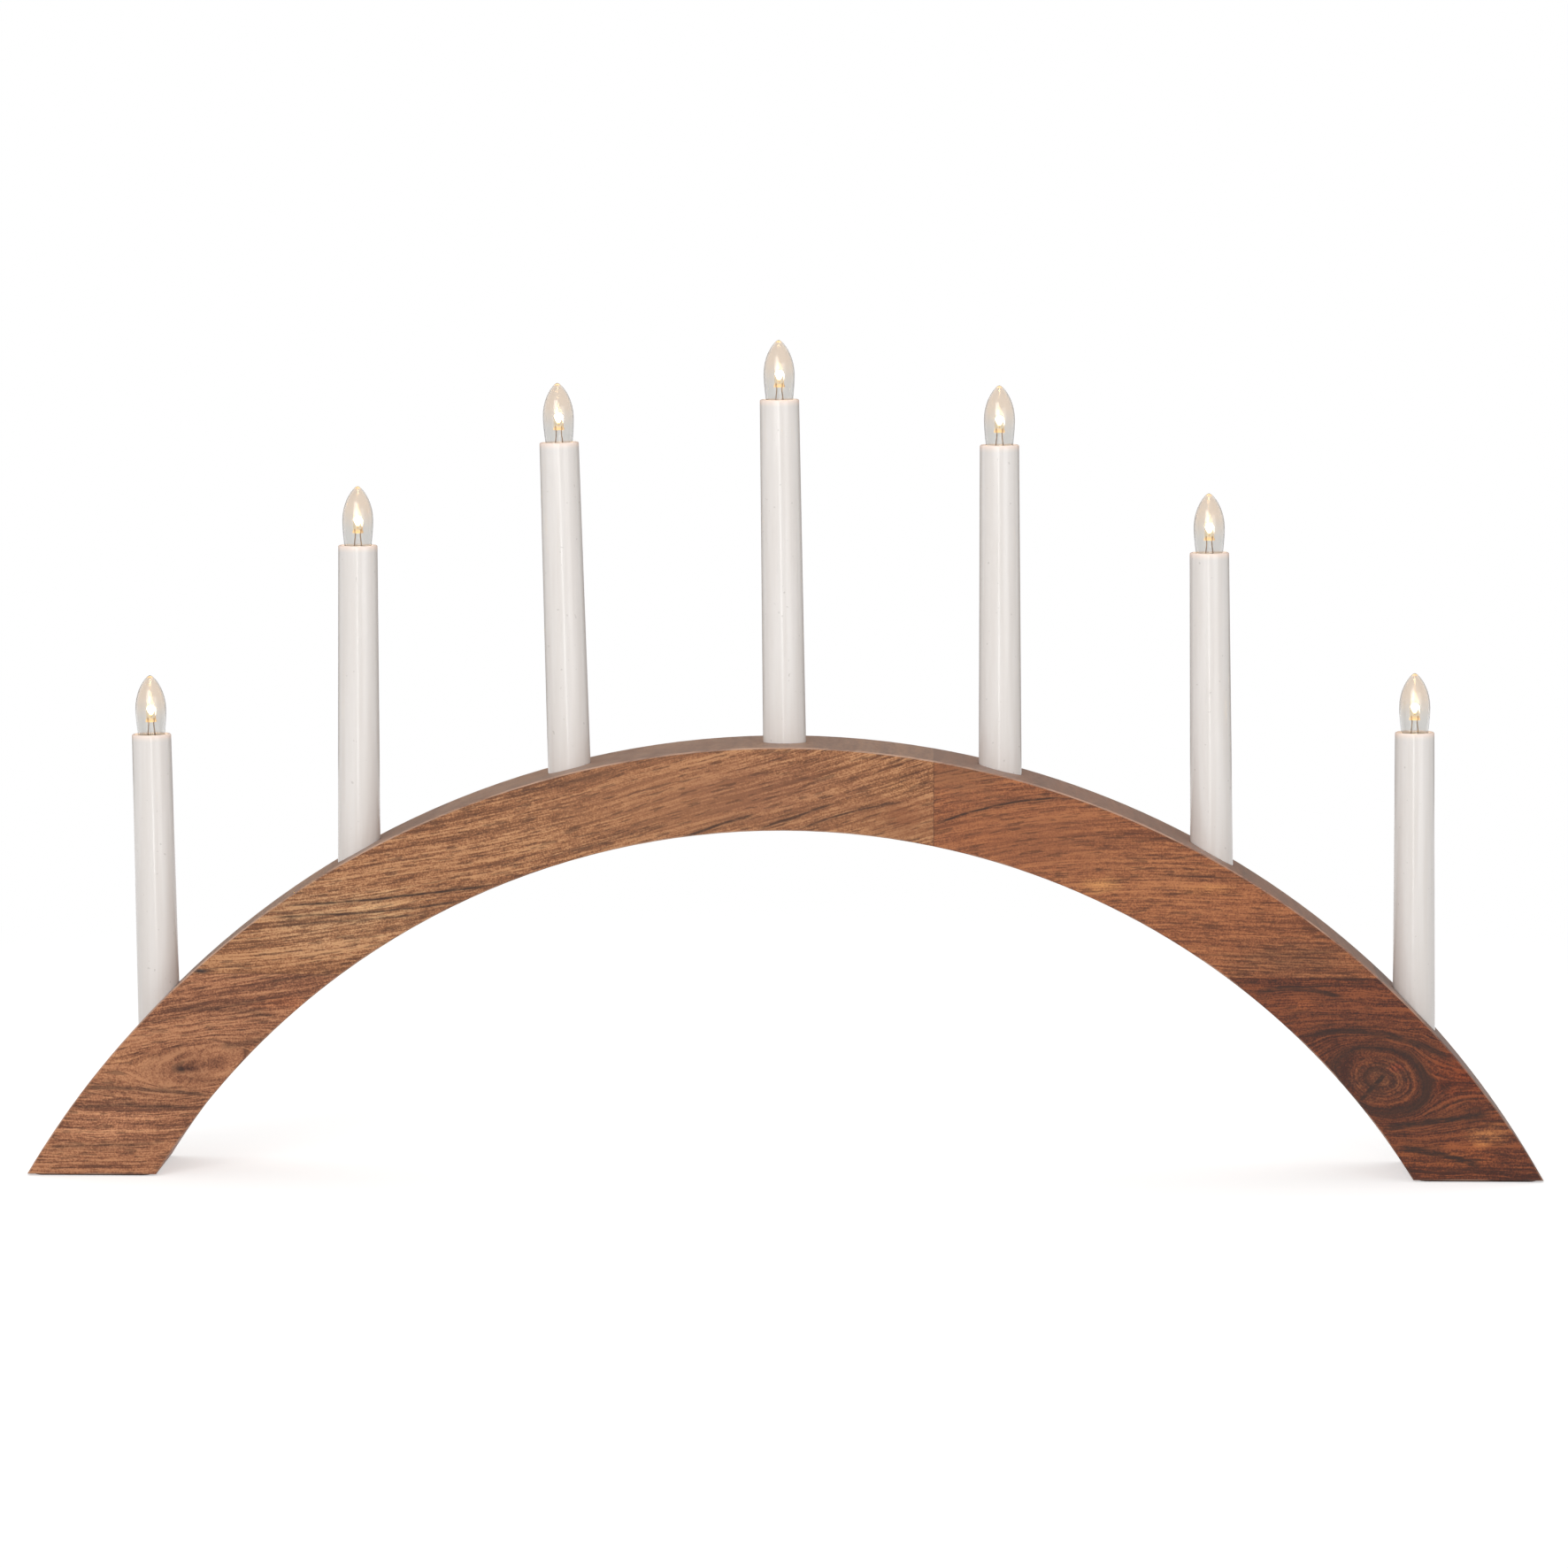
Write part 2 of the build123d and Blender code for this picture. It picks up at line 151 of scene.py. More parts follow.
def newMaterial(name, sockets):
    material = bpy.data.materials.new(name)
    material.use_nodes = True
    tree = material.node_tree
    shader = tree.nodes["Principled BSDF"]
    feed(tree, shader, sockets)
    return material, tree, shader


def objectPlace(tree):
    return addNode(tree, "TexCoord").outputs["Object"]


def bumpNormal(tree, height, strength, distance):
    return addNode(tree, "Bump", {"Height": height, "Strength": strength, "Distance": distance}).outputs[0]


def setSurface(tree, node):
    tree.links.new(node.outputs[0], tree.nodes["Material Output"].inputs["Surface"])


def letLampsThrough(tree, shader, tone):
    # lamp light passes straight through the clear wall
    through = addNode(tree, "BsdfTransparent", {"Color": tone})
    shadowRay = addNode(tree, "LightPath").outputs["Is Shadow Ray"]
    mixed = addNode(tree, "MixShader", {0: shadowRay, 1: shader.outputs[0], 2: through.outputs[0]})
    setSurface(tree, mixed)


def dress(material, nodeNames):
    for name in nodeNames:
        node = nodes[name]
        node.data.materials.clear()
        node.data.materials.append(material)


# Small helpers for meshes

def keepMesh(mesh, name):
    data = bpy.data.meshes.new(name)
    mesh.to_mesh(data)
    mesh.free()
    return data


def placeMesh(mesh, name, materials):
    data = keepMesh(mesh, name)
    for material in materials:
        data.materials.append(material)
    piece = bpy.data.objects.new(name, data)
    bpy.context.scene.collection.objects.link(piece)
    return piece


def meshFromCurve(curve):
    holder = bpy.data.objects.new(curve.name, curve)
    data = bpy.data.meshes.new_from_object(holder)
    bpy.data.objects.remove(holder)
    bpy.data.curves.remove(curve)
    return data


def addPlate(mesh, length, width):
    plate = bmesh.ops.create_grid(mesh, x_segments=1, y_segments=1, size=0.5)["verts"]
    bmesh.ops.scale(mesh, vec=(length, width, 1), verts=plate)
    return plate


# Wood figure: bands that follow the grain, bent round one knot. A noise is its stretch, detail and
# roughness, and a range is two ends, with the values they become where those aren't 0 and 1.

figure = {
    "waver": 4.0 * mm,  # how far the bands stray
    "waverNoise": ((7.0, 9.0, 16.0), 1.0),
    "broad": ((4.0, 6.0, 55.0), 3.0),
    "streak": ((6.0, 14.0, 430.0), 4.0, 0.6),
    "fibre": ((24.0, 300.0, 1150.0), 3.0, 0.6),
    "dash": ((110.0, 900.0, 1150.0), 2.0, 0.6),
    "grit": ((1250.0, 1250.0, 1250.0), 1.0),
    "pore": ((105.0, 1000.0, 900.0), 1.0),
    "poreEdge": (0.58, 0.66),
    "shares": (0.16, 0.23, 0.25, 0.18, 0.18),  # of broad, streak, fibre, dash and grit in the tone
    "toneRange": (0.41, 0.595),
    "knotWobble": 0.2,
    "wobbleNoise": ((38.0, 30.0, 38.0), 2.0),
    "ringPlace": 0.93,  # in knot radii
    "ringEdge": (0.26, 0.02),  # off the ring's middle, from none to full
    "ringHeavy": (0.5, 0.0, -0.35),  # towards the heavier side
    "ringWeight": (-0.7, 0.4, 0.75, 1.0),
    "innerRings": 3.2,  # fine rings within one knot radius
    "fineEdge": (0.3, 1.0, 0.0, 0.35),
    "fineFade": (1.7, 0.9),
    "ringBreaks": (0.3, 0.6, 0.5, 1.0),
}


def makeBoardFigure():
    tree, given, result = newGroup("boardFigure", [
        ("Position", "Vector", origin),
        ("Rise", "Float", 0.0),
        ("Bow", "Float", 0.0),
        ("Bow End", "Float", 0.0),
        ("Fan", "Float", 0.0),
        ("Fan Place", "Vector", origin),
        ("Knot", "Vector", (9.0, 0.0, 0.0)),  # far off, for a board without one
        ("Knot Size", "Vector", (0.03, 1.0, 0.02)),
        ("Knot Turn", "Float", 0.0),
        ("Knot Rings", "Float", 1.0),
    ], ["Tone", "Fibre", "Pores", "Rings"])
    place = given["Position"]

    def turned(vector, angle):
        sockets = {"Vector": vector, "Angle": given[angle]}
        return addNode(tree, "VectorRotate", sockets, rotation_type="Y_AXIS").outputs[0]

    lying = split(tree, turned(place, "Rise"))
    stray = sway(tree, place, figure["waver"], figure["waverNoise"])

    # bowed before one place, and fanned out above another
    before = calc(tree, "MINIMUM", calc(tree, "SUBTRACT", lying["X"], given["Bow End"]), 0.0)
    bowed = calc(tree, "MULTIPLY", calc(tree, "MULTIPLY", before, before), given["Bow"])
    fromFan = split(tree, vectorCalc(tree, "SUBTRACT", place, given["Fan Place"]))
    fanned = calc(tree, "MULTIPLY", fromFan["X"], calc(tree, "MAXIMUM", fromFan["Z"], 0.0))
    fanned = calc(tree, "MULTIPLY", fanned, given["Fan"])
    shift = calc(tree, "SUBTRACT", stray, calc(tree, "ADD", bowed, fanned))

    # the grain parts round the knot like water round a stone, and rings fill the knot
    fromKnot = vectorCalc(tree, "SUBTRACT", place, given["Knot"])
    height = split(tree, given["Knot Size"])["Z"]
    aside = calc(tree, "DIVIDE", split(tree, turned(fromKnot, "Rise"))["Z"], height)
    toKnot = vectorCalc(tree, "MULTIPLY", turned(fromKnot, "Knot Turn"), noDepth)
    toKnot = vectorCalc(tree, "DIVIDE", toKnot, given["Knot Size"])
    wobble = noise(tree, place, *figure["wobbleNoise"])
    wobble = calc(tree, "MULTIPLY_ADD", wobble, 2 * figure["knotWobble"], 1 - figure["knotWobble"])
    distance = calc(tree, "MULTIPLY", vectorCalc(tree, "LENGTH", toKnot), wobble)
    outside = calc(tree, "MAXIMUM", distance, 1.0)
    parted = calc(tree, "DIVIDE", 1.0, calc(tree, "MULTIPLY", outside, outside))
    parted = calc(tree, "SUBTRACT", 1.0, parted)
    inside = calc(tree, "SUBTRACT", calc(tree, "MINIMUM", distance, 1.0), 1.0)
    inside = calc(tree, "MULTIPLY", inside, given["Knot Rings"])
    lines = calc(tree, "MULTIPLY_ADD", aside, parted, inside)
    middle = split(tree, turned(given["Knot"], "Rise"))["Z"]
    across = calc(tree, "ADD", calc(tree, "MULTIPLY_ADD", lines, height, middle), shift)
    flowing = addNode(tree, "CombineXYZ", {"X": lying["X"], "Y": lying["Y"], "Z": across}).outputs[0]

    broad = noise(tree, flowing, *figure["broad"])
    streak = noise(tree, flowing, *figure["streak"])
    fibre = noise(tree, flowing, *figure["fibre"])
    dash = noise(tree, flowing, *figure["dash"])
    grit = noise(tree, place, *figure["grit"])
    pore = noise(tree, flowing, *figure["pore"])
    tone = 0.0
    for layer, share in zip((broad, streak, fibre, dash, grit), figure["shares"]):
        tone = calc(tree, "MULTIPLY_ADD", layer, share, tone)

    # one thick dark ring, heavier below and to the right, and fine rings within it
    offRing = calc(tree, "ABSOLUTE", calc(tree, "SUBTRACT", distance, figure["ringPlace"]))
    weight = vectorCalc(tree, "DOT_PRODUCT", toKnot, figure["ringHeavy"])
    weight = remap(tree, weight, *figure["ringWeight"])
    ring = calc(tree, "MULTIPLY", remap(tree, offRing, *figure["ringEdge"]), weight)
    turns = calc(tree, "MULTIPLY", distance, 2 * pi * figure["innerRings"])
    fine = remap(tree, calc(tree, "COSINE", turns), *figure["fineEdge"])
    fine = calc(tree, "MULTIPLY", fine, remap(tree, distance, *figure["fineFade"]))
    rings = calc(tree, "MAXIMUM", ring, fine)
    rings = calc(tree, "MULTIPLY", rings, remap(tree, dash, *figure["ringBreaks"]))

    tree.links.new(remap(tree, tone, *figure["toneRange"]), result["Tone"])
    tree.links.new(fibre, result["Fibre"])
    tree.links.new(remap(tree, pore, *figure["poreEdge"]), result["Pores"])
    tree.links.new(rings, result["Rings"])
    return tree


# Dark veins: core and halo in widths from the line, start and end in shares of its length

veinShape = {
    "shake": 1.0 * mm,
    "shakeNoise": ((40.0, 25.0, 60.0), 2.0),
    "core": (0.9, 0.3),
    "halo": (3.5, 0.3, 0.0, 0.3),
    "start": (-0.04, 0.15),
    "end": (1.04, 0.85),
    "breakNoise": ((150.0, 60.0, 500.0), 2.0),
    "breaks": (0.3, 0.55, 0.6, 1.0),
}


def makeDarkVein():
    # thin dark line from one place to another, bowed and a little unsteady
    tree, given, result = newGroup("darkVein", [
        ("Position", "Vector", origin),
        ("From", "Vector", origin),
        ("To", "Vector", (1.0, 0.0, 0.0)),
        ("Bow", "Float", 0.0),
        ("Width", "Float", 1.0 * mm),
    ], ["Mask"])
    place = given["Position"]
    run = vectorCalc(tree, "SUBTRACT", given["To"], given["From"])
    heading = vectorCalc(tree, "NORMALIZE", run)
    reach = vectorCalc(tree, "SUBTRACT", place, given["From"])
    reach = vectorCalc(tree, "MULTIPLY", reach, noDepth)
    along = vectorCalc(tree, "DOT_PRODUCT", reach, heading)
    share = calc(tree, "DIVIDE", along, vectorCalc(tree, "LENGTH", run))
    aside = split(tree, vectorCalc(tree, "CROSS_PRODUCT", heading, reach))["Y"]
    # the bow is full at mid length
    arc = calc(tree, "MULTIPLY", share, calc(tree, "SUBTRACT", 1.0, share))
    arc = calc(tree, "MULTIPLY", arc, 4.0)
    aside = calc(tree, "ADD", aside, calc(tree, "MULTIPLY", arc, given["Bow"]))
    aside = calc(tree, "ADD", aside, sway(tree, place, veinShape["shake"], veinShape["shakeNoise"]))
    aside = calc(tree, "DIVIDE", calc(tree, "ABSOLUTE", aside), given["Width"])
    core = remap(tree, aside, *veinShape["core"])
    line = calc(tree, "MAXIMUM", core, remap(tree, aside, *veinShape["halo"]))
    start = remap(tree, share, *veinShape["start"])
    end = remap(tree, share, *veinShape["end"])
    line = calc(tree, "MULTIPLY", line, calc(tree, "MULTIPLY", start, end))
    broken = remap(tree, noise(tree, place, *veinShape["breakNoise"]), *veinShape["breaks"])
    tree.links.new(calc(tree, "MULTIPLY", line, broken), result["Mask"])
    return tree


# Soft oval patches: distances in half sizes

patchShape = {
    "edgeStray": 0.7,
    "edgeNoise": ((90.0, 60.0, 300.0), 3.0),
    "fade": (1.1, 0.0),
}


def makeSoftPatch():
    tree, given, result = newGroup("softPatch", [
        ("Position", "Vector", origin),
        ("Place", "Vector", origin),
        ("Size", "Vector", (0.01, 1.0, 0.01)),
    ], ["Mask"])
    place = given["Position"]
    reach = vectorCalc(tree, "SUBTRACT", place, given["Place"])
    reach = vectorCalc(tree, "DIVIDE", reach, given["Size"])
    reach = vectorCalc(tree, "LENGTH", vectorCalc(tree, "MULTIPLY", reach, noDepth))
    reach = calc(tree, "ADD", reach, sway(tree, place, patchShape["edgeStray"], patchShape["edgeNoise"]))
    tree.links.new(remap(tree, reach, *patchShape["fade"]), result["Mask"])
    return tree


boardFigure = makeBoardFigure()
darkVein = makeDarkVein()
softPatch = makeSoftPatch()

# One entry a board, in millimetres and degrees. A vein is (from x, z, to x, z, bow, width, strength),
# a patch is (x, z, half length, half height, tone of the middle grain, strength), and so is a calm
# place, where the grain hardly shows.
boardLooks = {
    "leg_left": {
        "tones": (rgb(108, 66, 46), rgb(158, 103, 72), rgb(193, 136, 97)),
        "rise": 1.0,
        "fan": 2.8,
        "fanPlace": (-310.0, 48.0),
        "knot": (-305.0, 59.0),
        "knotSize": (31.0, 10.5),
        "knotTurn": 6.0,
        "knotRings": 0.25,
        "ringStrength": 0.1,
        "veins": [
            (-372.1, 36.0, -303.5, 35.9, 1.5, 1.4, 0.6),
            (-366.0, 46.6, -297.4, 42.4, 1.5, 1.8, 0.6),
            (-384.1, 15.4, -324.1, 17.6, 0.0, 1.3, 0.5),
            (-269.1, 102.6, -229.0, 106.9, 1.0, 1.2, 0.6),
            (-301.6, 88.5, -255.3, 97.0, -1.0, 1.4, 0.5),
            (-324.7, 87.0, -262.0, 84.0, 3.0, 1.8, 0.4),
            (-294.8, 69.0, -255.5, 77.1, -1.5, 2.6, 0.5),
        ],
        "patches": [
            (-311.0, 58.5, 27.0, 12.0, rgb(132, 84, 59), 0.7),
            (-298.0, 51.0, 18.0, 4.0, rgb(124, 76, 52), 0.4),
            (-309.0, 57.0, 9.5, 3.2, rgb(84, 48, 36), 0.8),
            (-313.5, 56.6, 3.0, 2.2, rgb(52, 34, 29), 0.9),
            (-262.0, 92.0, 20.0, 4.0, rgb(190, 106, 62), 0.35),
            (-345.0, 62.0, 24.0, 6.0, rgb(190, 132, 90), 0.3),
            (-348.0, 30.0, 42.0, 18.0, rgb(186, 126, 91), 0.7),
        ],
    },
    "leg_right": {
        "tones": (rgb(64, 33, 24), rgb(103, 54, 35), rgb(142, 80, 49)),
        "rise": -3.0,
        "knot": (310.0, 54.0),
        "knotSize": (26.0, 17.5),
        "knotTurn": -16.0,
        "knotRings": 0.55,
        "ringStrength": 0.85,
        "veins": [
            (243.5, 98.6, 291.5, 96.0, 4.0, 2.2, 0.8),
            (266.5, 76.3, 350.0, 62.0, 9.0, 3.0, 0.8),
            (310.5, 28.0, 368.1, 36.6, 0.0, 3.0, 0.9),
            (318.0, 18.2, 363.9, 8.2, 1.5, 3.0, 0.9),
            (298.5, 41.5, 313.0, 58.0, 0.0, 2.0, 0.9),
            (258.0, 88.0, 300.0, 86.0, 1.0, 1.8, 0.3),
        ],
        "patches": [
            (366.0, 25.0, 16.0, 7.0, rgb(180, 118, 76), 0.4),
            (352.0, 58.0, 22.0, 20.0, rgb(106, 46, 25), 0.75),
            (290.0, 88.0, 50.0, 14.0, rgb(96, 50, 34), 0.45),
            (270.0, 93.0, 9.0, 6.0, rgb(156, 86, 52), 0.3),
            (345.0, 12.0, 34.0, 11.0, rgb(152, 82, 48), 0.7),
            (310.0, 54.0, 22.0, 15.0, rgb(104, 64, 45), 0.65),
            (318.0, 60.0, 5.5, 3.0, rgb(138, 58, 38), 0.6),
            (322.5, 54.5, 2.2, 2.6, rgb(66, 38, 30), 0.7),
        ],
    },
    "crown_left": {
        "tones": (rgb(112, 71, 46), rgb(158, 105, 70), rgb(196, 143, 100)),
        "rise": 16.0,
        "bow": 0.52,
        "bowEnd": -30.0,
        "veins": [
            (-262.8, 142.0, -144.0, 154.8, -1.0, 1.0, 0.9),
            (-268.8, 136.4, -160.0, 146.0, -1.5, 0.9, 0.8),
            (-268.9, 131.8, -182.7, 139.1, -0.5, 1.0, 0.6),
            (-52.0, 179.0, -14.0, 191.5, 0.5, 1.1, 0.85),
            (-13.0, 183.3, 26.0, 196.8, 0.3, 1.0, 0.8),
            (7.0, 183.4, 64.0, 198.4, 1.5, 0.9, 0.7),
            (-148.8, 197.9, -84.5, 213.3, 1.0, 1.8, 0.3),
            (-112.2, 170.0, -57.1, 186.6, 0.8, 1.8, 0.3),
        ],
        "patches": [
            (-235.0, 136.0, 60.0, 26.0, rgb(192, 144, 104), 0.42),
            (-206.0, 141.0, 24.0, 16.0, rgb(176, 122, 82), 0.5),
            (-130.0, 180.0, 60.0, 22.0, rgb(172, 120, 82), 0.35),
            (-5.0, 204.0, 60.0, 24.0, rgb(144, 92, 64), 0.5),
            (-302.8, 108.4, 6.0, 1.8, rgb(46, 40, 40), 0.95),
            (60.0, 206.0, 14.0, 8.0, rgb(180, 126, 82), 0.3),
            (66.0, 192.0, 22.0, 12.0, rgb(150, 92, 60), 0.6),
        ],
        "calm": [
            (-45.0, 198.0, 105.0, 34.0, rgb(162, 110, 76), 0.62),
            (60.0, 187.0, 40.0, 18.0, rgb(144, 94, 62), 0.7),
        ],
    },
    "crown_right": {
        "tones": (rgb(112, 65, 42), rgb(152, 92, 59), rgb(182, 117, 75)),
        "rise": -1.0,
        "bow": -0.85,
        "bowEnd": 200.0,
        "veins": [
            (77.0, 186.0, 148.0, 200.6, 3.2, 1.0, 0.9),
            (240.0, 118.0, 292.0, 121.0, 0.0, 1.6, 0.3),
            (190.0, 160.0, 260.0, 156.0, 1.0, 1.2, 0.35),
        ],
        "patches": [
            (190.0, 160.0, 60.0, 26.0, rgb(166, 111, 73), 0.2),
            (163.6, 155.5, 13.0, 5.0, rgb(198, 136, 82), 0.5),
            (219.3, 152.5, 18.0, 3.5, rgb(188, 124, 74), 0.4),
            (106.0, 178.0, 22.0, 5.0, rgb(164, 96, 58), 0.3),
            (262.0, 116.0, 48.0, 14.0, rgb(112, 74, 52), 0.55),
        ],
        "calm": [
            (130.0, 180.0, 70.0, 34.0, rgb(150, 93, 61), 0.52),
            (90.0, 211.0, 34.0, 14.0, rgb(134, 89, 61), 0.65),
        ],
    },
}

lacquer = {
    "finish": {"Specular IOR Level": 0.27},
    "toneStops": (0.08, 0.48, 0.92),
    "poreTone": rgb(62, 38, 28),
    "poreStrength": 0.5,
    "veinTone": rgb(46, 32, 27),
    "glueTone": rgb(70, 44, 33),
    "glueStrength": 0.6,
    "glueHeight": 107.0,  # level glue lines
    "glueSide": 78.0,  # upright glue line
    "glueWidth": 0.45,
    "paintedTopSheen": rgb(162, 143, 132),
    "topFacing": (0.3, 0.75),  # upward part of the normal, from no painted sheen to full
    "topSheenByFibre": (0.35, 0.65, 0.4, 0.7),
    "edgeWearAndHighlightTone": rgb(208, 170, 146),
    "edgeIn": (31.7, 31.8),  # millimetres from mid depth, where the pale edge begins
    "edgeOut": (32.5, 32.45),  # and where it ends
    "edgeNoise": ((30.0, 30.0, 30.0), 3.0),
    "edgeWearAndHighlightPatches": (0.4, 0.65, 0.0, 0.6),
    "roughness": (0.42, 0.56),
    "fibreRelief": 0.4,
    "bump": (0.25, 0.15 * mm),
}


def inMetres(x, z):
    return (x * mm, 0.0, z * mm)


def grainFlow(place, look):
    flow = {"Position": place, "Rise": radians(look["rise"])}
    if "bow" in look:
        flow.update({"Bow": look["bow"], "Bow End": look["bowEnd"] * mm})
    if "fan" in look:
        flow.update({"Fan": look["fan"], "Fan Place": inMetres(*look["fanPlace"])})
    if "knot" in look:
        length, height = look["knotSize"]
        flow.update({"Knot": inMetres(*look["knot"]), "Knot Size": (length * mm, 1.0, height * mm)})
        flow.update({"Knot Turn": radians(look["knotTurn"]), "Knot Rings": look["knotRings"]})
    return flow


def boardWood(name, look):
    material, tree, shader = newMaterial(name + "_wood", lacquer["finish"])
    place = objectPlace(tree)
    grain = useGroup(tree, boardFigure, grainFlow(place, look))
    colour = ramp(tree, grain["Tone"], list(zip(lacquer["toneStops"], look["tones"])))
    middleTone = look["tones"][1]

    def patchShare(x, z, halfLength, halfHeight, strength):
        spot = useGroup(tree, softPatch, {
            "Position": place,
            "Place": inMetres(x, z),
            "Size": (halfLength * mm, 1.0, halfHeight * mm),
        })["Mask"]
        return calc(tree, "MULTIPLY", spot, strength)

    for *oval, tone, strength in look.get("calm", []):
        colour = blend(tree, patchShare(*oval, strength), colour, tone)
    for *oval, tone, strength in look["patches"]:
        tint = tuple(part / base for part, base in zip(tone, middleTone))
        colour = blend(tree, patchShare(*oval, strength), colour, tint, "MULTIPLY")
    shade = calc(tree, "MULTIPLY", grain["Rings"], look.get("ringStrength", 0.0))
    for fromX, fromZ, toX, toZ, bow, width, strength in look["veins"]:
        vein = useGroup(tree, darkVein, {
            "Position": place,
            "From": inMetres(fromX, fromZ),
            "To": inMetres(toX, toZ),
            "Bow": bow * mm,
            "Width": width * mm,
        })["Mask"]
        shade = calc(tree, "MAXIMUM", shade, calc(tree, "MULTIPLY", vein, strength))
    colour = blend(tree, shade, colour, lacquer["veinTone"])
    pores = calc(tree, "MULTIPLY", grain["Pores"], lacquer["poreStrength"])
    colour = blend(tree, pores, colour, lacquer["poreTone"])

    # the glue shows as a fine dark line
    parts = split(tree, place)
    if name.startswith("leg"):
        offset = calc(tree, "SUBTRACT", parts["Z"], lacquer["glueHeight"] * mm)
    else:
        offset = calc(tree, "SUBTRACT", parts["X"], lacquer["glueSide"] * mm)
    offset = calc(tree, "ABSOLUTE", offset)
    glue = remap(tree, offset, lacquer["glueWidth"] * mm, 0.0, 0.0, lacquer["glueStrength"])
    colour = blend(tree, glue, colour, lacquer["glueTone"])

    # painted reflection: the top is painted grey brown for the sheen its lacquer shows at a low angle
    facing = split(tree, addNode(tree, "NewGeometry").outputs["Normal"])["Z"]
    facing = remap(tree, facing, *lacquer["topFacing"])
    paintedSheen = calc(tree, "MULTIPLY", facing, remap(tree, grain["Fibre"], *lacquer["topSheenByFibre"]))
    colour = blend(tree, paintedSheen, colour, lacquer["paintedTopSheen"])
    # the eased edges are painted pale, partly as rubbed wear and partly as a painted highlight
    depth = calc(tree, "DIVIDE", calc(tree, "ABSOLUTE", parts["Y"]), mm)
    rubbedAndLitEdge = remap(tree, depth, *lacquer["edgeIn"])
    rubbedAndLitEdge = calc(tree, "MULTIPLY", rubbedAndLitEdge, remap(tree, depth, *lacquer["edgeOut"]))
    patchy = remap(tree, noise(tree, place, *lacquer["edgeNoise"]), *lacquer["edgeWearAndHighlightPatches"])
    colour = blend(tree, calc(tree, "MULTIPLY", rubbedAndLitEdge, patchy), colour, lacquer["edgeWearAndHighlightTone"])

    relief = calc(tree, "MULTIPLY", grain["Fibre"], lacquer["fibreRelief"])
    relief = calc(tree, "SUBTRACT", relief, grain["Pores"])
    feed(tree, shader, {
        "Base Color": colour,
        "Roughness": remap(tree, grain["Fibre"], *noiseSpan, *lacquer["roughness"]),
        "Normal": bumpNormal(tree, relief, *lacquer["bump"]),
    })
    return material


for boardName, look in boardLooks.items():
    dress(boardWood(boardName, look), [boardName])
coverLook = dict(boardLooks["crown_left"], veins=[], patches=[])
dress(boardWood("channel_cover", coverLook), ["channel_cover"])
print("boards dressed")


# Candle pieces are modelled upright with the sleeve's rim at z = 0, then set on their candles

def candlePlace(number):
    turn = joints[f"bulb_{number}_turn"]
    lean = Vector(upward).rotation_difference(Vector(turn["axis"]))
    return Matrix.Translation(turn["pos_m"]) @ lean.to_matrix().to_4x4()


def spinOutline(mesh, outline, steps):
    corners = [mesh.verts.new((radius * mm, 0, height * mm)) for radius, height in outline]
    edges = [mesh.edges.new(pair) for pair in zip(corners, corners[1:] + corners[:1])]
    turnRound(mesh, corners + edges, steps)


def turnRound(mesh, geometry, steps):
    bmesh.ops.spin(mesh, geom=geometry, cent=origin, axis=upward, angle=2 * pi, steps=steps,
                   use_merge=True)
    bmesh.ops.remove_doubles(mesh, verts=mesh.verts, dist=weld)
    bmesh.ops.dissolve_degenerate(mesh, edges=mesh.edges, dist=weld)
    bmesh.ops.recalc_face_normals(mesh, faces=mesh.faces)


def roundRings(mesh, radius, height, amount, segments):
    near = 0.01 * mm

    def onRing(vert):
        return abs(vert.co.xy.length - radius * mm) < near and abs(vert.co.z - height * mm) < near

    ring = [edge for edge in mesh.edges if all(onRing(vert) for vert in edge.verts)]
    bmesh.ops.bevel(mesh, geom=ring, offset=amount * mm, offset_type="OFFSET", affect="EDGES",
                    segments=segments, profile=0.5, material=-1)


def keepHeights(mesh):
    # height above the rim, in millimetres, for the glow in the materials
    layer = mesh.verts.layers.float.new("height")
    for vert in mesh.verts:
        vert[layer] = vert.co.z / mm


def finishPiece(mesh, name, number, materials, sharpAngle, body, replaced):
    keepHeights(mesh)
    bmesh.ops.transform(mesh, matrix=candlePlace(number), verts=mesh.verts)
    piece = placeMesh(mesh, f"{name}_{number}", materials)
    piece.data.shade_smooth()
    piece.data.set_sharp_from_angle(angle=radians(sharpAngle))
    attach(piece, body)
    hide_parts(f"{replaced}_{number}")


def heightAbove(tree):
    return addNode(tree, "Attribute", attribute_name="height").outputs["Fac"]


# White sleeves

sleeve = {
    "length": 192.0,
    "rimRadius": 10.2,
    "footRadius": 11.3,
    "footWall": 2.0,
    "socketRadius": 8.9,
    "stepRadius": 8.3,
    "stepHeight": -24.7,
    "rimRound": (0.8, 4),  # size and segments
    "socketRound": (0.25, 2),
    "steps": 64,
    "sharpAngle": 40,
    "finish": {"IOR": 1.5, "Emission Strength": 0.35},
    "tone": rgb(234, 229, 225),
    "shadeTone": rgb(229, 223, 218),
    "mottleNoise": ((260.0, 260.0, 14.0), 3.0),
    "speckTone": rgb(150, 140, 132),
    "speckNoise": ((520.0, 520.0, 520.0), 0.0),
    "speckEdge": (0.80, 0.86, 0.0, 0.25),
    "hazeNoise": ((90.0, 90.0, 40.0), 2.0),
    "roughness": (0.13, 0.2),
    "rippleNoise": ((60.0, 60.0, 9.0), 2.0),
    "bump": (0.03, 0.5 * mm),
    # colour of the painted glow under the rim
    "glow": (0.55, 0.23, 0.07, 1.0),
    "glowDepth": 5.0,
}


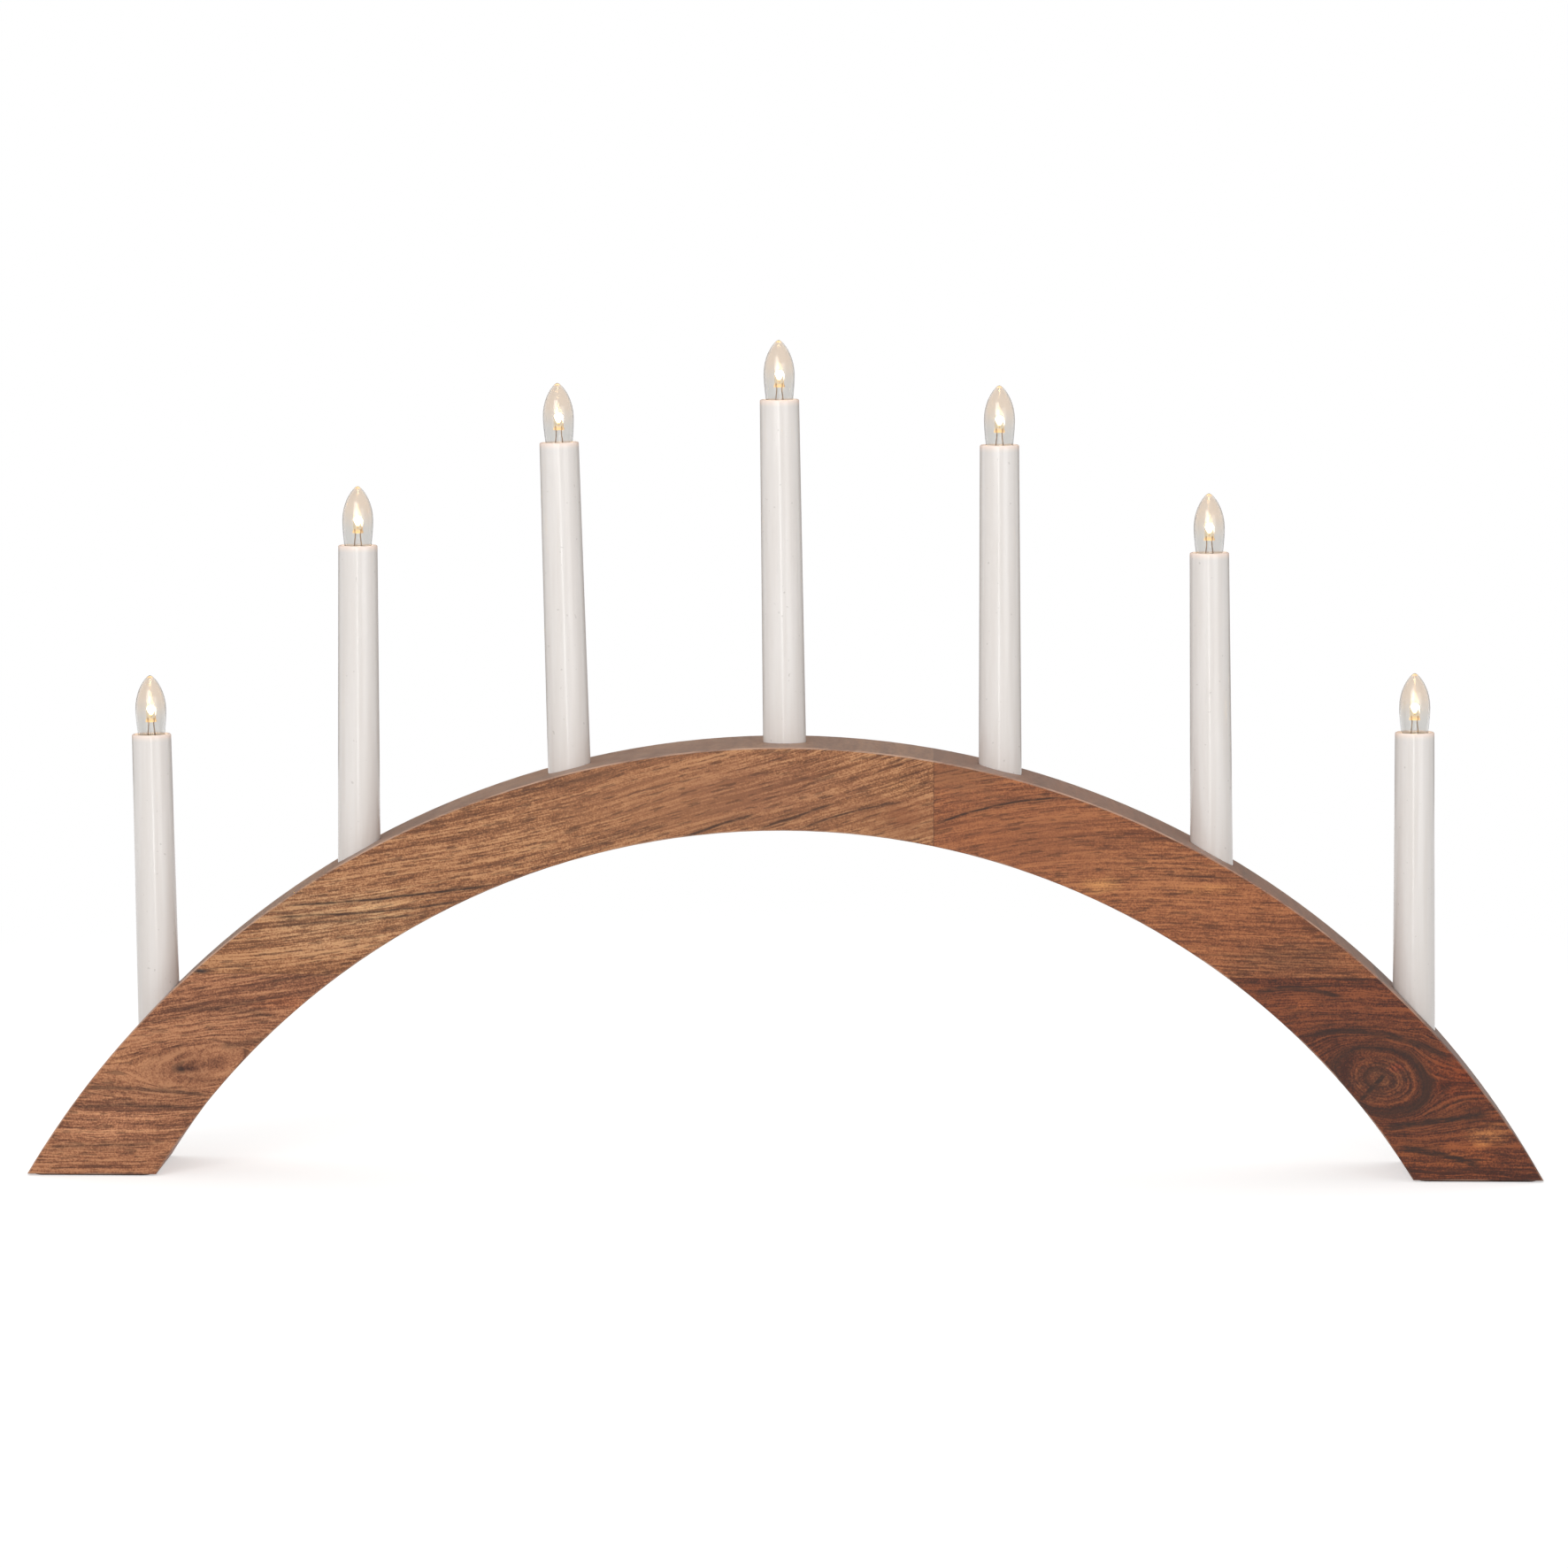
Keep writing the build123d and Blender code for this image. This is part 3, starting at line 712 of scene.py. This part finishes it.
def sleevePlastic():
    material, tree, shader = newMaterial("sleeve_gloss", sleeve["finish"])
    place = objectPlace(tree)
    mottle = remap(tree, noise(tree, place, *sleeve["mottleNoise"]), *noiseSpan)
    colour = blend(tree, mottle, sleeve["shadeTone"], sleeve["tone"])
    specks = remap(tree, noise(tree, place, *sleeve["speckNoise"]), *sleeve["speckEdge"])
    haze = noise(tree, place, *sleeve["hazeNoise"])
    ripple = noise(tree, place, *sleeve["rippleNoise"])
    # painted glow: the bulb's light showing through the plastic just under the rim is painted in as
    # emission
    lit = remap(tree, heightAbove(tree), -sleeve["glowDepth"], 0.0)
    feed(tree, shader, {
        "Base Color": blend(tree, specks, colour, sleeve["speckTone"]),
        "Roughness": remap(tree, haze, *noiseSpan, *sleeve["roughness"]),
        "Normal": bumpNormal(tree, ripple, *sleeve["bump"]),
        "Emission Color": blend(tree, calc(tree, "MULTIPLY", lit, lit), black, sleeve["glow"]),
    })
    return material


sleeveMaterials = [sleevePlastic()]
for number in candleNumbers:
    mesh = bmesh.new()
    spinOutline(mesh, [
        (sleeve["socketRadius"], 0.0),
        (sleeve["rimRadius"], 0.0),
        (sleeve["footRadius"], -sleeve["length"]),
        (sleeve["footRadius"] - sleeve["footWall"], -sleeve["length"]),
        (sleeve["stepRadius"], sleeve["stepHeight"]),
        (sleeve["socketRadius"], sleeve["stepHeight"]),
    ], sleeve["steps"])
    roundRings(mesh, sleeve["rimRadius"], 0.0, *sleeve["rimRound"])
    roundRings(mesh, sleeve["socketRadius"], 0.0, *sleeve["socketRound"])
    finishPiece(mesh, "sleeve", number, sleeveMaterials, sleeve["sharpAngle"],
                "arch", "candle_sleeve")
print("sleeves made")


# Clear bulbs, after the same curves as their solids

bulb = {
    "height": 30.7,
    "radius": 8.0,
    "bellyHeight": 13.0,
    "neckRadius": 7.1,
    "noseShare": 0.23,
    "shoulderShare": 0.59,
    "waistShare": 0.44,
    "neckShare": 0.1,
    "footRadius": 4.95,
    "footHeight": -6.0,
    "wall": 0.7,
    "curveSteps": 10,
    "steps": 56,
    "sharpAngle": 60,
    "finish": {"Transmission Weight": 1.0, "IOR": 1.46, "Emission Strength": 0.16},
    "tone": rgb(231, 230, 228),
    "tipTone": rgb(242, 232, 221),
    "warmBand": (4.0, 22.0),  # height, from the tone to the tip's tone, a painted warm light of the LED
    "tipGlow": rgb(250, 205, 140),
    "tipBand": (29.0, 30.6),  # height of the tip's painted glow
    "hazeTone": rgb(214, 206, 202),
    "hazeNoise": ((300.0, 300.0, 60.0), 2.0),
    "hazeStrength": 0.12,
    "roughness": (0.1, 0.14),
    "throughTone": (0.96, 0.95, 0.94, 1.0),
}


def bulbCurve(inset):
    # knots of one wall, from the tip down, each with the handles before and after it
    radius = bulb["radius"] - inset
    neck = bulb["neckRadius"] - inset
    foot = bulb["footRadius"] - inset
    top = bulb["height"] - inset
    belly = bulb["bellyHeight"]
    half = bulb["footHeight"] / 2
    shoulder = belly + bulb["shoulderShare"] * (top - belly)
    return [
        ((0, top), (0, top), (bulb["noseShare"] * radius, top)),
        ((radius, belly), (radius, shoulder), (radius, belly * (1 - bulb["waistShare"]))),
        ((neck, 0), (neck, belly * bulb["neckShare"]), (neck, half)),
        ((foot, 2 * half), (foot, half), (foot, 2 * half)),
    ]


def curveMesh(knots):
    curve = bpy.data.curves.new("outline", "CURVE")
    curve.dimensions = "3D"
    curve.resolution_u = bulb["curveSteps"]
    spline = curve.splines.new("BEZIER")
    spline.bezier_points.add(len(knots) - 1)
    for point, (place, before, after) in zip(spline.bezier_points, knots):
        point.handle_left_type = "FREE"
        point.handle_right_type = "FREE"
        point.co = inMetres(*place)
        point.handle_left = inMetres(*before)
        point.handle_right = inMetres(*after)
    return meshFromCurve(curve)


def bulbGlass():
    material, tree, shader = newMaterial("clear_shell", bulb["finish"])
    height = heightAbove(tree)
    haze = noise(tree, objectPlace(tree), *bulb["hazeNoise"])
    # painted warm light of the LED, growing towards the tip
    colour = blend(tree, remap(tree, height, *bulb["warmBand"]), bulb["tone"], bulb["tipTone"])
    colour = blend(tree, calc(tree, "MULTIPLY", haze, bulb["hazeStrength"]), colour, bulb["hazeTone"])
    # painted glow: the LED's light is painted into the tip, in its colour and as emission
    lit = remap(tree, height, *bulb["tipBand"])
    feed(tree, shader, {
        "Base Color": blend(tree, lit, colour, bulb["tipGlow"]),
        "Roughness": remap(tree, haze, *noiseSpan, *bulb["roughness"]),
        "Emission Color": blend(tree, lit, black, bulb["tipGlow"]),
    })
    letLampsThrough(tree, shader, bulb["throughTone"])
    return material


bulbMaterials = [bulbGlass()]
outerWall = curveMesh(bulbCurve(0))
innerWall = curveMesh(bulbCurve(bulb["wall"]))
for number in candleNumbers:
    mesh = bmesh.new()
    mesh.from_mesh(outerWall)
    mesh.from_mesh(innerWall)
    feet = [vert for vert in mesh.verts if abs(vert.co.z - bulb["footHeight"] * mm) < weld]
    mesh.edges.new(feet)
    turnRound(mesh, mesh.verts[:] + mesh.edges[:], bulb["steps"])
    finishPiece(mesh, "bulb", number, bulbMaterials, bulb["sharpAngle"],
                f"bulb_{number}", "bulb_envelope")
print("bulbs made")


# LEDs: a clear lens on two legs, with the light held in its dome

ledLook = {
    "stand": 6.4,
    "flangeRadius": 2.9,
    "flangeHeight": 1.0,
    "lensRadius": 2.5,
    "length": 8.6,
    "steps": 32,
    "domeSteps": 8,
    "sharpAngle": 50,
    "lensFinish": {"Transmission Weight": 1.0, "IOR": 1.3, "Roughness": 0.08, "Emission Strength": 0.28},
    "lensFoot": rgb(255, 214, 140),
    "lensTone": rgb(255, 244, 220),
    "lensBand": 3.0,  # above the stand
    "flangeGlow": (1.0, 0.78, 0.48, 1.0),
    "throughTone": (1.0, 0.95, 0.86, 1.0),
    "coreFoot": 2.2,  # above the stand
    "coreRadius": 1.6,
    "coreGap": 0.5,  # under the lens's top
    "coreSteps": 24,
    "lightFinish": {"Roughness": 0.5, "Emission Strength": 14.0},
    "lightTone": (1.0, 0.85, 0.58, 1.0),
    "lightFoot": (0.05, 0.028, 0.01, 1.0),
    "lightBand": (2.8, 6.4),  # above the stand
    "legRadius": 0.28,
    "legPitch": 2.54,
    "legSpread": 4.0,
    "legBend": 2.2,
    "legTop": 2.0,  # above the stand
    "legEnd": -13.0,
    "legSteps": 6,
    "legRounding": 3,
    "legFinish": {"Metallic": 1.0},
    "legTone": rgb(178, 148, 112),
    "legTarnish": rgb(138, 104, 70),
    "legNoise": ((900.0, 900.0, 500.0), 3.0),
    "legRoughness": (0.22, 0.4),
}


def ledLens():
    material, tree, shader = newMaterial("led_lens", ledLook["lensFinish"])
    level = remap(tree, heightAbove(tree), ledLook["stand"], ledLook["stand"] + ledLook["lensBand"])
    feed(tree, shader, {
        "Base Color": blend(tree, level, ledLook["lensFoot"], ledLook["lensTone"]),
        "Emission Color": blend(tree, level, ledLook["flangeGlow"], black),
    })
    letLampsThrough(tree, shader, ledLook["throughTone"])
    return material


def ledLight():
    material, tree, shader = newMaterial("led_light", ledLook["lightFinish"])
    low, high = ledLook["lightBand"]
    level = remap(tree, heightAbove(tree), ledLook["stand"] + low, ledLook["stand"] + high)
    colour = blend(tree, level, ledLook["lightFoot"], ledLook["lightTone"])
    feed(tree, shader, {"Base Color": colour, "Emission Color": colour})
    return material


def ledLegs():
    material, tree, shader = newMaterial("led_legs", ledLook["legFinish"])
    worn = noise(tree, objectPlace(tree), *ledLook["legNoise"])
    bright = remap(tree, worn, *noiseSpan)
    feed(tree, shader, {
        "Base Color": blend(tree, bright, ledLook["legTarnish"], ledLook["legTone"]),
        "Roughness": remap(tree, worn, *noiseSpan, *ledLook["legRoughness"]),
    })
    return material


def legTube(side):
    near = side * ledLook["legPitch"] / 2
    wide = side * ledLook["legSpread"] / 2
    curve = bpy.data.curves.new("leg", "CURVE")
    curve.dimensions = "3D"
    curve.bevel_depth = ledLook["legRadius"] * mm
    curve.bevel_resolution = ledLook["legRounding"]
    curve.resolution_u = ledLook["legSteps"]
    curve.use_fill_caps = True
    route = [
        (near, ledLook["stand"] + ledLook["legTop"]),
        (near, ledLook["stand"] - ledLook["legBend"]),
        (wide, 0.0),
        (wide, ledLook["legEnd"]),
    ]
    spline = curve.splines.new("NURBS")
    spline.points.add(len(route) - 1)
    for point, (x, height) in zip(spline.points, route):
        point.co = (*inMetres(x, height), 1.0)
    spline.order_u = 3
    spline.use_endpoint_u = True
    return meshFromCurve(curve)


def domeOutline(foot, radius, top):
    # straight sides under a round dome, closed on the axis
    steps = ledLook["domeSteps"]
    turns = [i * pi / (2 * steps) for i in range(steps)]
    dome = [(radius * cos(turn), top - radius + radius * sin(turn)) for turn in turns]
    return [(0, foot), *dome, (0, top)]


def lensOutline():
    stand = ledLook["stand"]
    flangeTop = stand + ledLook["flangeHeight"]
    flange = [(0, stand), (ledLook["flangeRadius"], stand), (ledLook["flangeRadius"], flangeTop)]
    dome = domeOutline(flangeTop, ledLook["lensRadius"], stand + ledLook["length"])
    return flange + [(ledLook["lensRadius"], flangeTop)] + dome[1:]


def coreMesh():
    foot = ledLook["stand"] + ledLook["coreFoot"]
    top = ledLook["stand"] + ledLook["length"] - ledLook["coreGap"]
    mesh = bmesh.new()
    spinOutline(mesh, domeOutline(foot, ledLook["coreRadius"], top), ledLook["coreSteps"])
    return keepMesh(mesh, "core")


ledMaterials = [ledLens(), ledLight(), ledLegs()]
innerParts = [[coreMesh()], [legTube(-1), legTube(1)]]
for number in candleNumbers:
    mesh = bmesh.new()
    spinOutline(mesh, lensOutline(), ledLook["steps"])
    # the core wears the second material and the legs the third
    for index, parts in enumerate(innerParts, start=1):
        facesBefore = len(mesh.faces)
        for part in parts:
            mesh.from_mesh(part)
        mesh.faces.ensure_lookup_table()
        for face in mesh.faces[facesBefore:]:
            face.material_index = index
    finishPiece(mesh, "light", number, ledMaterials, ledLook["sharpAngle"], f"bulb_{number}", "led")
print("lights made")


# Lamp holders, caps and contacts keep their solids

plastic = {
    "cloudNoise": ((220.0, 220.0, 220.0), 3.0),
    "roughness": (-0.06, 0.06),  # to both sides of the given one
    "grainNoise": ((900.0, 900.0, 900.0), 2.0),
    "bump": (0.1, 0.1 * mm),
}
metal = {
    "finish": {"Metallic": 1.0},
    "cloudNoise": ((350.0, 350.0, 350.0), 4.0),
    "tarnishEdge": (0.35, 0.75),
    "roughness": (-0.08, 0.1),  # to both sides of the given one
    "scratchNoise": ((1500.0, 1500.0, 200.0), 2.0),
    "bump": (0.08, 0.05 * mm),
}


def plasticMaterial(name, tone, shade, roughness):
    material, tree, shader = newMaterial(name, {})
    place = objectPlace(tree)
    cloud = noise(tree, place, *plastic["cloudNoise"])
    grain = noise(tree, place, *plastic["grainNoise"])
    span = [roughness + change for change in plastic["roughness"]]
    feed(tree, shader, {
        "Base Color": blend(tree, remap(tree, cloud, *noiseSpan), shade, tone),
        "Roughness": remap(tree, cloud, *noiseSpan, *span),
        "Normal": bumpNormal(tree, grain, *plastic["bump"]),
    })
    return material


def metalMaterial(name, tone, tarnish, roughness):
    material, tree, shader = newMaterial(name, metal["finish"])
    place = objectPlace(tree)
    cloud = noise(tree, place, *metal["cloudNoise"])
    scratch = noise(tree, place, *metal["scratchNoise"])
    span = [roughness + change for change in metal["roughness"]]
    feed(tree, shader, {
        "Base Color": blend(tree, remap(tree, cloud, *metal["tarnishEdge"]), tone, tarnish),
        "Roughness": remap(tree, cloud, *noiseSpan, *span),
        "Normal": bumpNormal(tree, scratch, *metal["bump"]),
    })
    return material


def everyCandle(name):
    return [f"{name}_{number}" for number in candleNumbers]


# name, tone, second tone, roughness and the nodes that wear it
plasticFinishes = [
    ("holder_cream", rgb(232, 222, 204), rgb(216, 203, 182), 0.5, everyCandle("lamp_holder")),
    ("black_insulator", rgb(34, 33, 34), rgb(24, 23, 24), 0.3, everyCandle("cap_insulator")),
    ("wire_sheath", rgb(222, 217, 208), rgb(204, 198, 188), 0.45, ["wiring"]),
    ("gland_rubber", rgb(52, 45, 42), rgb(38, 33, 31), 0.7, ["cord_gland"]),
]
metalFinishes = [
    ("brass", rgb(206, 170, 104), rgb(150, 112, 62), 0.32,
     ["screw_shells", "contact_strips", "cover_screws"]),
    ("nickel_cap", rgb(206, 202, 194), rgb(168, 160, 148), 0.28, everyCandle("bulb_cap")),
    ("solder", rgb(186, 187, 190), rgb(140, 140, 144), 0.45, everyCandle("bulb_tip")),
]
for *finish, wearers in plasticFinishes:
    dress(plasticMaterial(*finish), wearers)
for *finish, wearers in metalFinishes:
    dress(metalMaterial(*finish), wearers)
print("inner pieces dressed")


# Felt pads under the feet

pads = {
    "length": 61.5,
    "width": 59.0,
    "corner": 5.0,
    "cornerSteps": 6,
    "thickness": 1.0,
    "rimRound": 0.25,
    "rimSteps": 2,
    "places": (-361.25, 361.25),
    "finish": {"Roughness": 0.95, "Sheen Weight": 0.4, "Sheen Roughness": 0.6},
    "tone": rgb(58, 46, 40),
    "fluffTone": rgb(86, 70, 60),
    "fluffNoise": ((900.0, 900.0, 900.0), 4.0, 0.65),
    "fluffEdge": (0.35, 0.7),
    "bump": (0.6, 0.3 * mm),
}


def padFelt():
    material, tree, shader = newMaterial("felt", pads["finish"])
    fluff = noise(tree, objectPlace(tree), *pads["fluffNoise"])
    feed(tree, shader, {
        "Base Color": blend(tree, remap(tree, fluff, *pads["fluffEdge"]), pads["tone"], pads["fluffTone"]),
        "Normal": bumpNormal(tree, fluff, *pads["bump"]),
    })
    return material


mesh = bmesh.new()
for x in pads["places"]:
    plate = addPlate(mesh, pads["length"] * mm, pads["width"] * mm)
    bmesh.ops.translate(mesh, vec=(x * mm, 0, 0), verts=plate)
bmesh.ops.bevel(mesh, geom=mesh.verts[:], offset=pads["corner"] * mm, offset_type="OFFSET",
                affect="VERTICES", segments=pads["cornerSteps"], profile=0.5, material=-1)
raised = bmesh.ops.extrude_face_region(mesh, geom=mesh.faces[:])
top = [item for item in raised["geom"] if isinstance(item, bmesh.types.BMVert)]
bmesh.ops.translate(mesh, vec=(0, 0, pads["thickness"] * mm), verts=top)
bmesh.ops.recalc_face_normals(mesh, faces=mesh.faces)
rims = [edge for edge in mesh.edges if abs(edge.verts[0].co.z - edge.verts[1].co.z) < weld]
bmesh.ops.bevel(mesh, geom=rims, offset=pads["rimRound"] * mm, offset_type="OFFSET", affect="EDGES",
                segments=pads["rimSteps"], profile=0.5, material=-1)
padPiece = placeMesh(mesh, "felt_pads", [padFelt()])
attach(padPiece, "arch")
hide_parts("foot_pads")
print("felt pads made")


# Stage, light and camera

stage = {
    "floorSize": 12.0,
    "floorFinish": {"Roughness": 0.8, "Specular IOR Level": 0.1},
    "floorTone": rgb(232, 231, 230),
    "floorPale": rgb(238, 237, 236),
    "floorNoise": ((3.0, 3.0, 3.0), 2.0),
    "floorLift": 0.5,  # brings the lit floor to white, for the camera, glass and gloss alone
    "floorFade": (0.45, 1.1),  # metres from the middle, from lit floor to plain white
    "cardSize": (3.4, 1.3),
    "cardPlace": (0.0, 1.1, 0.75),
    "cardFinish": {"Roughness": 1.0, "Specular IOR Level": 0.0},
    "cardTone": rgb(150, 143, 138),
    "cardShade": rgb(140, 134, 129),
    "cardNoise": ((40.0, 40.0, 40.0), 2.0),
    "ambient": 0.45,
    "lamps": [
        # name, place, aim, width and height in metres, power in watts
        ("key", (-0.8, -2.3, 1.4), (0.0, 0.0, 0.2), 1.4, 1.4, 25.0),
        ("strip", (-0.15, -2.75, 0.75), (0.0, 0.0, 0.25), 0.25, 1.5, 6.5),
        ("fill", (1.5, -1.9, 0.8), (0.0, 0.0, 0.2), 1.2, 1.2, 7.5),
        ("top", (0.0, 0.7, 2.0), (0.0, 0.0, 0.2), 1.5, 1.5, 7.0),
    ],
}


def seenShare(tree):
    path = addNode(tree, "LightPath").outputs
    seen = calc(tree, "MAXIMUM", path["Is Camera Ray"], path["Is Glossy Ray"])
    return calc(tree, "MAXIMUM", seen, path["Is Transmission Ray"])


def floorMaterial():
    material, tree, shader = newMaterial("floor", stage["floorFinish"])
    place = objectPlace(tree)
    soft = noise(tree, place, *stage["floorNoise"])
    feed(tree, shader, {"Base Color": blend(tree, soft, stage["floorTone"], stage["floorPale"])})
    seen = seenShare(tree)
    lift = addNode(tree, "Emission", {"Strength": calc(tree, "MULTIPLY", seen, stage["floorLift"])})
    near = addNode(tree, "AddShader", {0: shader.outputs[0], 1: lift.outputs[0]})
    plain = addNode(tree, "Emission", {"Strength": 1.0})
    away = remap(tree, vectorCalc(tree, "LENGTH", place), *stage["floorFade"])
    away = calc(tree, "MULTIPLY", seen, away)
    setSurface(tree, addNode(tree, "MixShader", {0: away, 1: near.outputs[0], 2: plain.outputs[0]}))
    return material


mesh = bmesh.new()
addPlate(mesh, stage["floorSize"], stage["floorSize"])
floor = placeMesh(mesh, "floor", [floorMaterial()])


# a grey card behind the arch, out of the camera's sight, gives glossy edges something to reflect
def cardMaterial():
    material, tree, shader = newMaterial("card", stage["cardFinish"])
    grain = noise(tree, objectPlace(tree), *stage["cardNoise"])
    feed(tree, shader, {"Base Color": blend(tree, grain, stage["cardTone"], stage["cardShade"])})
    return material


mesh = bmesh.new()
addPlate(mesh, *stage["cardSize"])
bmesh.ops.rotate(mesh, matrix=Matrix.Rotation(pi / 2, 3, "X"), verts=mesh.verts)
bmesh.ops.translate(mesh, vec=stage["cardPlace"], verts=mesh.verts)
card = placeMesh(mesh, "card", [cardMaterial()])
card.visible_camera = False
card.visible_diffuse = False
card.visible_transmission = False
card.visible_shadow = False

world = bpy.data.worlds.new("studio")
bpy.context.scene.world = world
world.use_nodes = True
sky = world.node_tree
level = calc(sky, "MULTIPLY_ADD", seenShare(sky), 1 - stage["ambient"], stage["ambient"])
feed(sky, sky.nodes["Background"], {"Color": white, "Strength": level})

for name, place, aim, width, height, power in stage["lamps"]:
    lamp = bpy.data.lights.new(name, "AREA")
    lamp.shape = "RECTANGLE"
    lamp.size = width
    lamp.size_y = height
    lamp.energy = power
    holder = bpy.data.objects.new(name, lamp)
    holder.location = place
    holder.rotation_euler = (Vector(aim) - Vector(place)).to_track_quat("-Z", "Y").to_euler()
    bpy.context.scene.collection.objects.link(holder)

photoCamera = {
    "frameSide": 1772,  # pixels
    "focalPixels": 6674.8,  # fitted to the photograph's outline
    "sensor": 36.0,
    "azimuth": 1.575,
    "elevation": 6.136,
    "distance": 3.0855,
    "target": (-0.00028, 0.0, 0.20357),
}
swing = radians(photoCamera["azimuth"])
tilt = radians(photoCamera["elevation"])
backward = Vector((sin(swing) * cos(tilt), -cos(swing) * cos(tilt), sin(tilt)))
cameraData = bpy.data.cameras.new("camera")
cameraData.sensor_width = photoCamera["sensor"]
cameraData.lens = photoCamera["focalPixels"] / photoCamera["frameSide"] * photoCamera["sensor"]
camera = bpy.data.objects.new("camera", cameraData)
camera.location = Vector(photoCamera["target"]) + backward * photoCamera["distance"]
camera.rotation_euler = (-backward).to_track_quat("-Z", "Y").to_euler()
bpy.context.scene.collection.objects.link(camera)
bpy.context.scene.camera = camera
bpy.context.scene.view_settings.view_transform = "Standard"
print("stage set")
